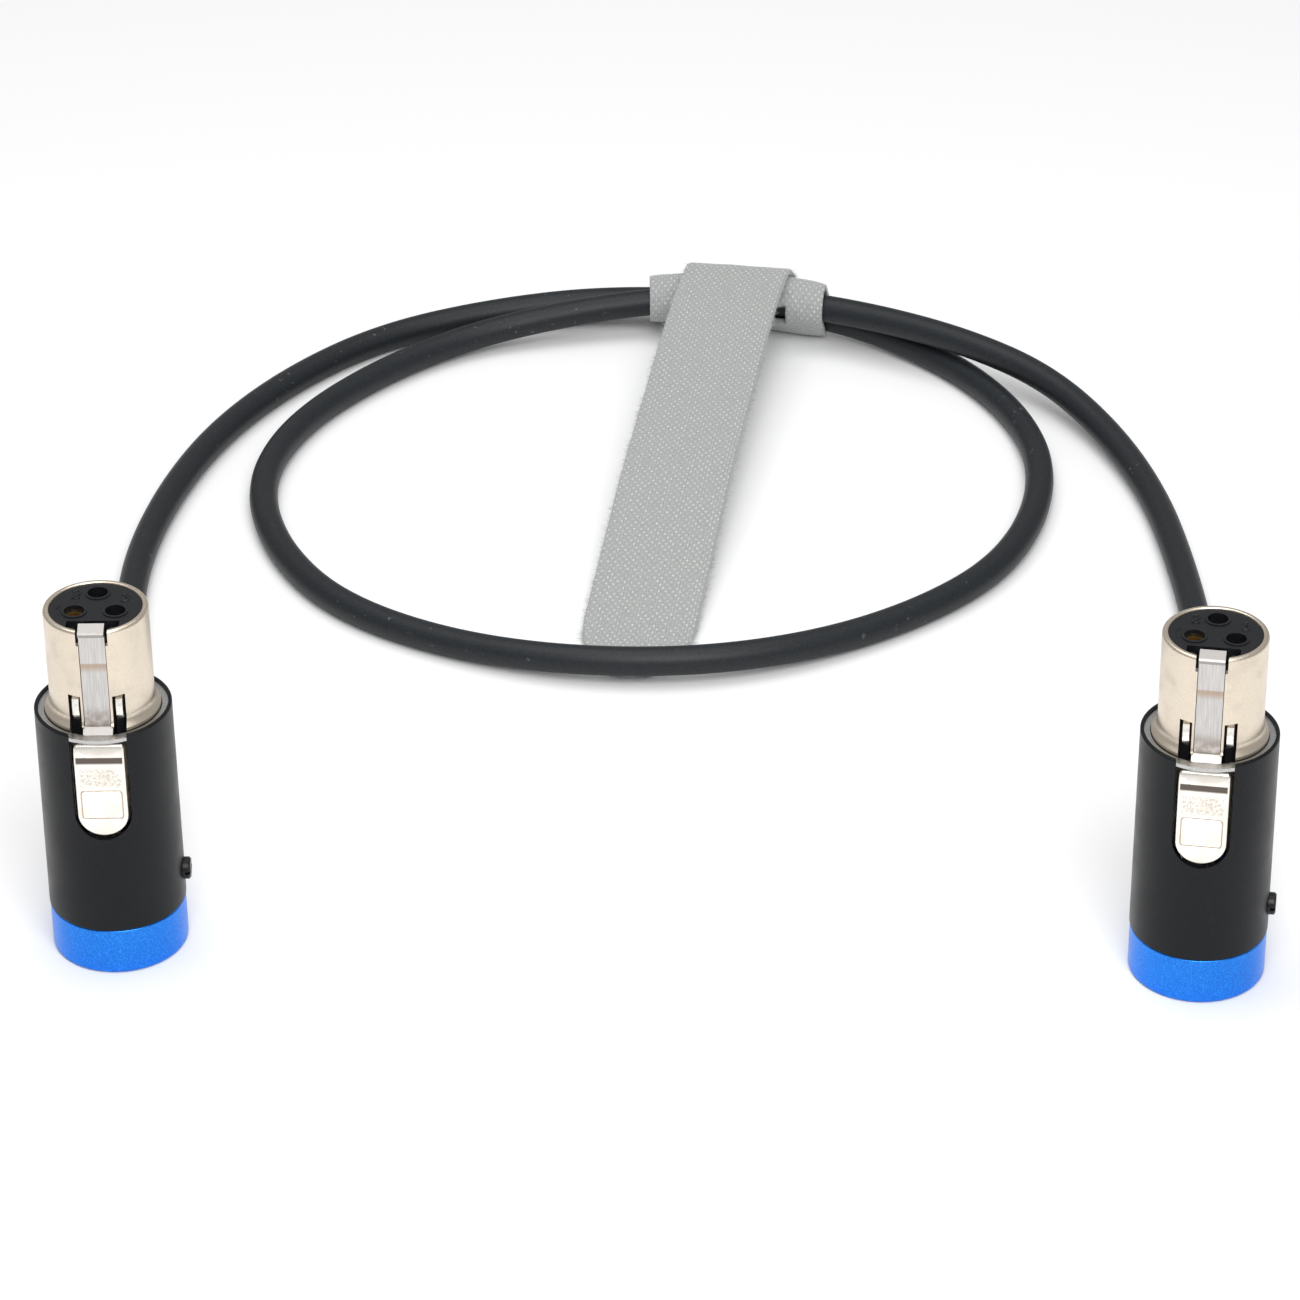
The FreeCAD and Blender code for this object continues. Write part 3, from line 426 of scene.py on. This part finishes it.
# ---- pieces ------------------------------------------------------------------------------------------
def finish_piece(obj, body, slot, *replaced):
    """Gives a piece its material, body and slot, and the CAD nodes that it stands for."""
    obj.data.materials.clear()
    obj.data.materials.append(MATERIALS[slot])
    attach(obj, body)
    if replaced:
        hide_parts(*replaced)
    return obj


def new_object(name, data):
    obj = bpy.data.objects.new(name, data)
    scene.collection.objects.link(obj)
    return obj


def mesh_object(name, build):
    """An object whose mesh the function fills in."""
    mesh = bpy.data.meshes.new(name)
    work = bmesh.new()
    build(work)
    work.to_mesh(mesh)
    work.free()
    mesh.shade_smooth()
    return new_object(name, mesh)


def make_camera():
    forward = Vector((0, math.cos(CAMERA_PITCH), -math.sin(CAMERA_PITCH)))
    level = Vector((1, 0, 0))
    upright = level.cross(forward)
    right = level * math.cos(CAMERA_ROLL) + upright * math.sin(CAMERA_ROLL)
    up = upright * math.cos(CAMERA_ROLL) - level * math.sin(CAMERA_ROLL)
    camera = new_object("camera", bpy.data.cameras.new("camera"))
    turn = Matrix((right, up, -forward)).transposed().to_4x4()
    camera.matrix_world = Matrix.Translation(CAMERA_TARGET - forward * CAMERA_DISTANCE) @ turn
    camera.data.sensor_width = 36.0
    camera.data.lens = CAMERA_LENS
    camera.data.clip_start = 0.01
    scene.camera = camera


def make_cable():
    curve = bpy.data.curves.new("cable_jacket", "CURVE")
    curve.dimensions = "3D"
    spline = curve.splines.new("NURBS")
    spline.points.add(len(ROUTE) - 1)
    for point, place in zip(spline.points, ROUTE):
        point.co = (*place, 1.0)
    spline.order_u = 3
    spline.use_endpoint_u = True
    spline.resolution_u = CABLE_STEPS[0]
    curve.bevel_depth = CABLE_D / 2
    curve.bevel_resolution = CABLE_STEPS[1]
    curve.use_fill_caps = True
    cable = finish_piece(new_object("cable_jacket", curve), ROOT, "black_jacket", "cable")


def quad_rows(work, rows, count, closed):
    """Faces between neighbouring rows of vertices, count of them in each."""
    for low, high in zip(rows, rows[1:]):
        for j in range(count):
            k = (j + 1) % len(low) if closed else j + 1
            work.faces.new((low[j], low[k], high[k], high[j]))


def cap_ends(work, rows):
    for row in (rows[0], rows[-1]):
        work.faces.new(row)


def tape_mesh(work, rings, lengths, widths):
    """Skin over closed rings of equal counts.  widths holds each ring's across-the-tape places."""
    layer = work.loops.layers.uv.new("tape")
    rows = [[work.verts.new(p) for p in ring] for ring in rings]
    count = len(rows[0])
    for i in range(len(rows) - 1):
        for j in range(count):
            k = (j + 1) % count
            face = work.faces.new((rows[i][j], rows[i][k], rows[i + 1][k], rows[i + 1][j]))
            places = ((i, j), (i, k), (i + 1, k), (i + 1, j))
            for loop, (row, column) in zip(face.loops, places):
                loop[layer].uv = (widths[row][column], lengths[row])
    cap_ends(work, rows)
    bmesh.ops.recalc_face_normals(work, faces=work.faces)


def smooth_line(points, radii, spacing):
    """Evenly spaced points along straight runs joined by tangent arcs, in one plane."""
    points = [Vector(p) for p in points]
    line = [points[0]]
    for before, corner, after, radius in zip(points, points[1:], points[2:], radii):
        back, ahead = (before - corner).normalized(), (after - corner).normalized()
        turn = math.pi - back.angle(ahead)
        reach = radius * math.tan(turn / 2)
        centre = corner + (back + ahead).normalized() * (radius / math.cos(turn / 2))
        first, last = corner + back * reach - centre, corner + ahead * reach - centre
        steps = max(3, round(turn * radius / spacing))
        for k in range(steps + 1):
            share = k / steps
            line.append(centre + (first * math.sin((1 - share) * turn) + last * math.sin(share * turn))
                        / math.sin(turn))
    line.append(points[-1])
    even, left = [line[0]], spacing
    for a, b in zip(line, line[1:]):
        run = (b - a).length
        gone = left
        while gone <= run:
            even.append(a + (b - a) * (gone / run))
            gone += spacing
        left = gone - run
    return even


def tail_point(s, across, z):
    """From the strap's own (forward, across, up) places to the model's."""
    ahead = Vector((-math.sin(TAIL_TURN), -math.cos(TAIL_TURN), 0))
    aside = Vector((math.cos(TAIL_TURN), -math.sin(TAIL_TURN), 0))
    sway, run = TAIL_SWAY
    lean = sway * max(0.0, 1 - max(s, 0.0) / run) ** 2
    return TAIL_TOP + ahead * s + aside * (across + lean) + Vector((0, 0, z))


def tail_half_width(gone, length):
    """Half of the strap's width, given the length along it."""
    over = (gone - (length - TAIL_TIP)) / TAIL_TIP
    return STRAP_W / 2 * math.sqrt(max(0.0, 1 - max(over, 0.0) ** 2))


def tail_section(half_w):
    """(across, up) points round the strap's section: its upper face, one edge, then both again turned."""
    half_t = STRAP_T / 2
    flat = half_w - half_t
    section = [(flat * (2 * k / TAIL_COLUMNS - 1), half_t) for k in range(TAIL_COLUMNS + 1)]
    for k in range(1, TAIL_EDGE_STEPS):
        turn = math.pi * k / TAIL_EDGE_STEPS
        section.append((flat + half_t * math.sin(turn), half_t * math.cos(turn)))
    return section + [(-u, -h) for u, h in section]


def tail_ring(place, normal, gone, half_w):
    """The strap's section at one place of its line, with its uneven faces and ragged edges."""
    wave_pitch, wave_height = TAPE_WAVE
    edge_pitch, edge_depth = TAPE_RAGGED
    flat_below, flat_share = TAPE_FLAT
    calm = min(1.0, gone / TAPE_WAVE_START) * (flat_share if place.y < flat_below else 1.0)
    ring = []
    for u, h in tail_section(half_w):
        wave = noise.noise(Vector((gone, u, 0.0)) * wave_pitch) * wave_height
        ragged = noise.noise(Vector((gone * edge_pitch, math.copysign(EDGE_SEED, u), 0.0))) * edge_depth
        ragged *= abs(u) / half_w
        at = place + normal * (h + wave * calm)
        ring.append(tail_point(at.x, u + math.copysign(ragged, u), max(at.y, TABLE_GAP)))
    return ring


def make_tail():
    line = smooth_line(TAIL_LINE, TAIL_BENDS, TAIL_SPACING)
    length = TAIL_SPACING * (len(line) - 1)
    least_half_w = 1.5 * STRAP_T / 2
    rings, lengths, widths = [], [], []
    for i, place in enumerate(line):
        tangent = (line[min(i + 1, len(line) - 1)] - line[max(i - 1, 0)]).normalized()
        normal = Vector((-tangent.y, tangent.x))
        gone = i * TAIL_SPACING
        half_w = max(tail_half_width(gone, length), least_half_w)
        rings.append(tail_ring(place, normal, gone, half_w))
        lengths.append(gone)
        widths.append([u for u, _ in tail_section(half_w)])
    tail = mesh_object("tie_strap_tail", lambda work: tape_mesh(work, rings, lengths, widths))
    finish_piece(tail, ROOT, "grey_strap", "tie_tail")
    fuzz = make_fuzz(line, length)


def add_fibre(work, at, way, length):
    """One loose fibre: a thin three-sided thread that curls as it goes."""
    way = way.normalized()
    aside = way.orthogonal().normalized()
    third = way.cross(aside)
    curl = Vector((random.uniform(-1, 1), random.uniform(-1, 1), random.uniform(*FIBRE_CURL_UP))) * FIBRE_CURL
    turns = [math.tau * k / FIBRE_SIDES for k in range(FIBRE_SIDES)]
    rings = []
    for k in range(FIBRE_STEPS + 1):
        share = k / FIBRE_STEPS
        middle = at + (way * share + curl * share ** 2) * length
        middle.z = max(middle.z, FIBRE_THICK)
        size = FIBRE_THICK * (1 - FIBRE_TAPER * share)
        rings.append([work.verts.new(middle + (aside * math.cos(a) + third * math.sin(a)) * size)
                      for a in turns])
    quad_rows(work, rings, FIBRE_SIDES, closed=True)


def make_fuzz(line, length):
    """Loose fibres along the strap's two edges, and longer ones round its tip."""
    inside, root_low = FIBRE_ROOT
    outside, tip_low = FIBRE_TIP

    def fill(work):
        for _ in range(FIBRES):
            i = random.randrange(FIBRE_FIRST, len(line) - 1)
            side = random.choice((-1, 1))
            forward, height = line[i]
            half_w = tail_half_width(i * TAIL_SPACING, length)
            height += random.uniform(-FIBRE_RISE, FIBRE_RISE) * STRAP_T
            lean = random.uniform(-FIBRE_LEAN, FIBRE_LEAN)
            root = tail_point(forward, side * (half_w - inside), max(height, root_low))
            tip = tail_point(forward + lean, side * (half_w + outside), max(height, tip_low))
            at_tip = i * TAIL_SPACING > length - TIP_SHARE * TAIL_TIP
            size = random.uniform(*(TIP_FIBRE_LENGTHS if at_tip else FIBRE_LENGTHS))
            add_fibre(work, root, tip - root, size)
    fuzz = mesh_object("tie_strap_fuzz", fill)
    finish_piece(fuzz, ROOT, "grey_strap")
    fuzz.data.materials[0] = MATERIALS["fibre"]
    return fuzz


def head_frame(share):
    """Middle of the head's section and its three directions, at a share of the way from left to right."""
    weights = ((1 - share) * (1 - 2 * share), 4 * share * (1 - share), share * (2 * share - 1))
    middle, heading, rise = Vector((0, 0, 0)), 0.0, 0.0
    for weight, (place, turn, tilt) in zip(weights, HEAD_STATIONS):
        middle += Vector(place) * weight
        heading += math.radians(turn) * weight
        rise += math.radians(tilt) * weight
    front = Vector((math.sin(heading), -math.cos(heading), 0))
    up = Vector((0, 0, 1))
    long_side = front * math.cos(rise) + up * math.sin(rise)
    short_side = up * math.cos(rise) - front * math.sin(rise)
    return middle, long_side, short_side


def head_section(inset, count):
    """Points round a rounded rectangle at even distances, with their distance along it."""
    a, b, c = HEAD_HALF[0] - inset, HEAD_HALF[1] - inset, HEAD_CORNER - inset
    runs = [2 * (a - c), math.pi / 2 * c, 2 * (b - c), math.pi / 2 * c] * 2
    total = sum(runs)
    points = []
    for k in range(count):
        gone, corner, heading = total * k / count, Vector((c - a, -b)), 0.0
        for i, run in enumerate(runs):
            part = min(gone, run)
            if i % 2 == 0:
                corner = corner + Vector((math.cos(heading), math.sin(heading))) * part
            else:
                turn = part / c
                centre = corner + Vector((-math.sin(heading), math.cos(heading))) * c
                heading += turn
                corner = centre + Vector((math.sin(heading), -math.cos(heading))) * c
            gone -= part
            if gone <= 0:
                break
        points.append(corner)
    return points, total


def make_head():
    """The band round the strands: an outer and an inner skin, joined at its ends and round its slot."""
    along, around = HEAD_STEPS
    (pitch_along, pitch_around), wave_height = HEAD_WAVE
    pinch_depth, pinch_power = HEAD_PINCH

    def skin(inset):
        section, total = head_section(inset, around)
        rows = []
        for i in range(along + 1):
            middle, long_side, short_side = head_frame(i / along)
            pinch = -pinch_depth * abs(2 * i / along - 1) ** pinch_power
            row = []
            for j, point in enumerate(section):
                wave = noise.noise(Vector((i * pitch_along, j * pitch_around, 0.0))) * wave_height
                moved = point + point.normalized() * (wave + pinch)
                row.append(middle + long_side * moved.x + short_side * moved.y)
            rows.append(row)
        return rows, total

    def fill(work):
        layer = work.loops.layers.uv.new("tape")
        outer, girth = skin(0.0)
        inner, _ = skin(HEAD_T)
        skins = [[[work.verts.new(p) for p in row] for row in rows] for rows in (outer, inner)]

        def place(i, j):
            return (HEAD_FLAT[0] * i / along, girth * j / around)

        def face(corners):
            made = work.faces.new([skins[k][i][j % around] for k, i, j in corners])
            for loop, (_, i, j) in zip(made.loops, corners):
                loop[layer].uv = place(i, j)

        def is_open(i, j):
            if not (0 <= i < along):
                return True
            middle = (outer[i][j % around] + outer[i + 1][(j + 1) % around]) / 2
            (x_low, x_high), (z_low, z_high) = HEAD_SLOT
            ahead = middle.y < head_frame(i / along)[0].y - HEAD_HALF[1] / 2
            return ahead and x_low < middle.x < x_high and z_low < middle.z < z_high

        for i in range(along):
            for j in range(around):
                if is_open(i, j):
                    continue
                corners = ((i, j), (i, j + 1), (i + 1, j + 1), (i + 1, j))
                face([(0, *corner) for corner in corners])
                face([(1, *corner) for corner in (corners[0], corners[3], corners[2], corners[1])])
                # the neighbour beyond each edge, and the edge's two corners
                edges = (((i - 1, j), 0, 1), ((i + 1, j), 2, 3), ((i, j - 1), 3, 0), ((i, j + 1), 1, 2))
                for other, first, second in edges:
                    if is_open(*other):
                        a, b = corners[first], corners[second]
                        face(((0, *a), (1, *a), (1, *b), (0, *b)))
        bmesh.ops.recalc_face_normals(work, faces=work.faces)

    band = mesh_object("tie_band", fill)
    finish_piece(band, ROOT, "grey_strap", "tie_head")


def stroke(work, points):
    """A raised line through the points on the insert's face, a little narrower at its top."""
    points = [Vector(p) for p in points]
    section = ((1.0, STROKE_FOOT), (STROKE_TOP_SHARE, NUMERAL_RISE),
               (-STROKE_TOP_SHARE, NUMERAL_RISE), (-1.0, STROKE_FOOT))
    rows = []
    for i, point in enumerate(points):
        way = (points[min(i + 1, len(points) - 1)] - points[max(i - 1, 0)]).normalized()
        side = Vector((-way.y, way.x)) * NUMERAL_WIDTH / 2
        rows.append([work.verts.new((*(point + side * share), INSERT_TOP + h)) for share, h in section])
    quad_rows(work, rows, len(section) - 1, closed=False)
    cap_ends(work, rows)


def bend(centre, radius, first, last, steps=7):
    """Points on an arc, between two angles in degrees."""
    return [(centre[0] + radius * math.cos(math.radians(first + (last - first) * k / steps)),
             centre[1] + radius * math.sin(math.radians(first + (last - first) * k / steps)))
            for k in range(steps + 1)]


# each numeral's middle on the insert's face, and its strokes about it in units of its height
NUMERALS = {
    "1": ((-0.0055, -0.0009), [[(-0.16, 0.30), (0.04, 0.5), (0.04, -0.5)]]),
    "2": ((-0.0032, 0.00375), [bend((0.0, 0.25), 0.25, 165, -35) + [(-0.25, -0.5), (0.27, -0.5)]]),
    "3": ((0.00425, 0.00275), [bend((0.0, 0.24), 0.24, 150, -80), bend((0.0, -0.24), 0.26, 80, -150)]),
}


def local_piece(name, side, fill):
    """An object drawn about its connector's own axis."""
    axis, turn = AXES[side]
    obj = mesh_object(name, fill)
    obj.matrix_world = Matrix.Translation(axis) @ Matrix.Rotation(turn, 4, "Z")
    return obj


def make_numerals(side):
    def fill(work):
        for (x, y), strokes in NUMERALS.values():
            for points in strokes:
                stroke(work, [(x + u * NUMERAL_H, y + v * NUMERAL_H) for u, v in points])
        bmesh.ops.recalc_face_normals(work, faces=work.faces)
    finish_piece(local_piece(side + "_numerals", side, fill), ROOT, "black_insert")


def button_outline(inset):
    """(x, z) points round the button's face, the given distance inside its edge."""
    foot_steps, side_steps, corner_steps, top_steps = 28, 12, 5, 6
    radius, least = BUTTON_CORNER
    corner = max(radius - inset, least)
    r = BUTTON_HALF_W - inset
    top = BUTTON_TOP - inset
    side = [BUTTON_MID_Z + (top - corner - BUTTON_MID_Z) * k / side_steps for k in range(1, side_steps)]
    points = bend((0.0, BUTTON_MID_Z), r, 180, 360, foot_steps)
    points += [(r, z) for z in side]
    points += bend((r - corner, top - corner), corner, 0, 90, corner_steps)
    points += [((r - corner) * (1 - 2 * k / top_steps), top) for k in range(1, top_steps)]
    points += bend((corner - r, top - corner), corner, 90, 180, corner_steps)
    return points + [(-r, z) for z in reversed(side)]


def make_button(side):
    def fill(work):
        loops = [(0.0, BUTTON_BACK), (0.0, BUTTON_FACE + BUTTON_EDGE)]
        for k in range(1, BUTTON_EDGE_STEPS + 1):
            turn = math.pi / 2 * k / BUTTON_EDGE_STEPS
            inset = BUTTON_EDGE * (1 - math.cos(turn))
            loops.append((inset, BUTTON_FACE + BUTTON_EDGE * (1 - math.sin(turn))))
        loops += [(BUTTON_EDGE + extra, BUTTON_FACE) for extra in BUTTON_FACE_LOOPS]
        rows = []
        for inset, y in loops:
            row = []
            for x, z in button_outline(inset):
                lean = 0.0 if y == BUTTON_BACK else BUTTON_LEAN * max(0.0, z - BUTTON_LEAN_Z)
                row.append(work.verts.new((x, y + lean, z)))
            rows.append(row)
        quad_rows(work, rows, len(rows[0]), closed=True)
        cap_ends(work, rows)
        bmesh.ops.recalc_face_normals(work, faces=work.faces)
    finish_piece(local_piece(side + "_button", side, fill), side + "_latch", "nickel_button",
                 side + "_latch_button")


def dress_nodes():
    """Gives each CAD node that stays in view the material of its slot."""
    slots = {row["node"]: row["material_slot"] for row in frame["record"]["subparts"]}
    for name, obj in frame["nodes"].items():
        obj.data.materials.clear()
        looks = "bright_spring" if name.endswith("ground_spring") else slots[name]
        obj.data.materials.append(MATERIALS[looks])


def floor_mesh(work):
    bmesh.ops.create_grid(work, x_segments=1, y_segments=1, size=FLOOR_HALF)


def make_stage():
    floor = mesh_object("floor", floor_mesh)
    floor.location.z = FLOOR_Z
    paper = Shader("paper")
    paper.surface(Base_Color=colour(0.86, 0.86, 0.865), Roughness=0.8)
    floor.data.materials.append(paper.material)

    world = bpy.data.worlds.new("studio")
    world.use_nodes = True
    sky = world.node_tree.nodes["Background"]
    sky.inputs["Color"].default_value = colour(1.0, 1.0, 1.0)
    sky.inputs["Strength"].default_value = SKY_STRENGTH
    scene.world = world
    for name, place, size, power in LAMPS:
        lamp = bpy.data.lights.new(name, "AREA")
        lamp.size = size
        lamp.energy = power
        obj = new_object(name, lamp)
        obj.location = place
        aim = LAMP_AIM - Vector(place)
        obj.rotation_euler = aim.to_track_quat("-Z", "Y").to_euler()
    scene.view_settings.view_transform = "Standard"


make_camera()
make_cable()
make_head()
make_tail()
for side in SIDES:
    make_numerals(side)
    make_button(side)
dress_nodes()
make_stage()
